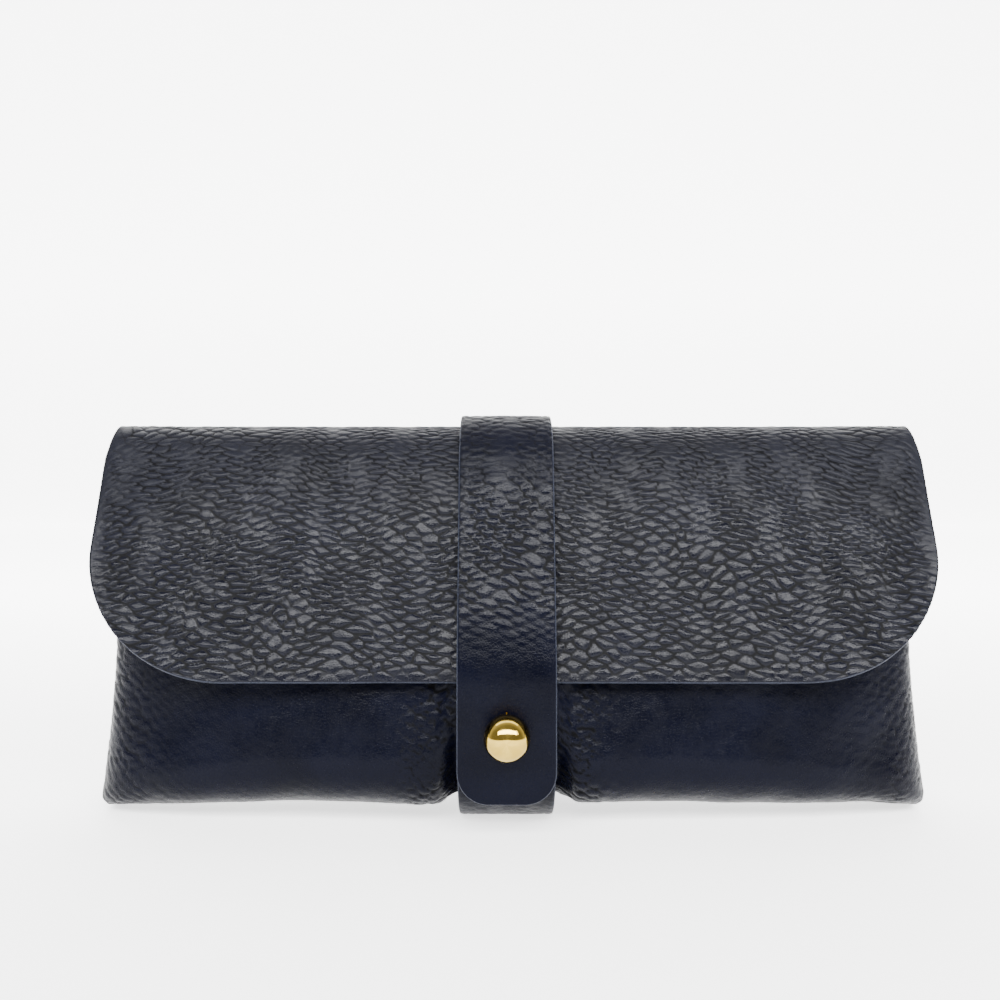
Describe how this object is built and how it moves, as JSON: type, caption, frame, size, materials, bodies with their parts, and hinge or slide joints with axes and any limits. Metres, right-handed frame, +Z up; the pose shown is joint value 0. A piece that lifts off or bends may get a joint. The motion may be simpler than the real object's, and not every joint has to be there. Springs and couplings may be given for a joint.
{
  "type": "soft pouch glasses case",
  "caption": "Soft leather pouch for folded glasses with a fold-over flap and an all-round band that buttons over a ball stud.",
  "frame": {"origin": "on the surface the case stands on, under the middle of the pouch, on the band's flat underside", "axes": "+Z up, +X to the right as seen from the front, -Y out of the front where the flap and the stud are"},
  "size_m": [0.1794, 0.0607, 0.0851],
  "materials": {
    "grained_leather": "pebbled full grain, semi-matt",
    "strap_leather": "pebbled to smooth grain, raw edges",
    "polished_brass": "polished",
    "sewing_thread": "bonded polyester thread"
  },
  "bodies": {
    "pouch": {"front_panel": "grained_leather", "back_panel": "grained_leather", "strap_under": "strap_leather", "strap_back": "strap_leather", "stud_post": "polished_brass", "stud_screw": "polished_brass", "left_seam_thread": "sewing_thread", "right_seam_thread": "sewing_thread", "strap_stitching": "sewing_thread"},
    "flap": {"flap": "grained_leather", "strap_top": "strap_leather"},
    "strap": {"strap_front": "strap_leather", "strap_tab": "strap_leather"}
  },
  "joints": [
    {"name": "flap_open", "type": "hinge", "parent": "pouch", "child": "flap", "pos_m": [0, 0, 0.0851], "axis": [-1, 0, 0], "range_deg": [0, 170]},
    {"name": "strap_open", "type": "hinge", "parent": "flap", "child": "strap", "pos_m": [0, -0.01068, 0.08068], "axis": [-1, 0, 0], "range_deg": [0, 120], "deforming": ["strap_tab"]}
  ]
}
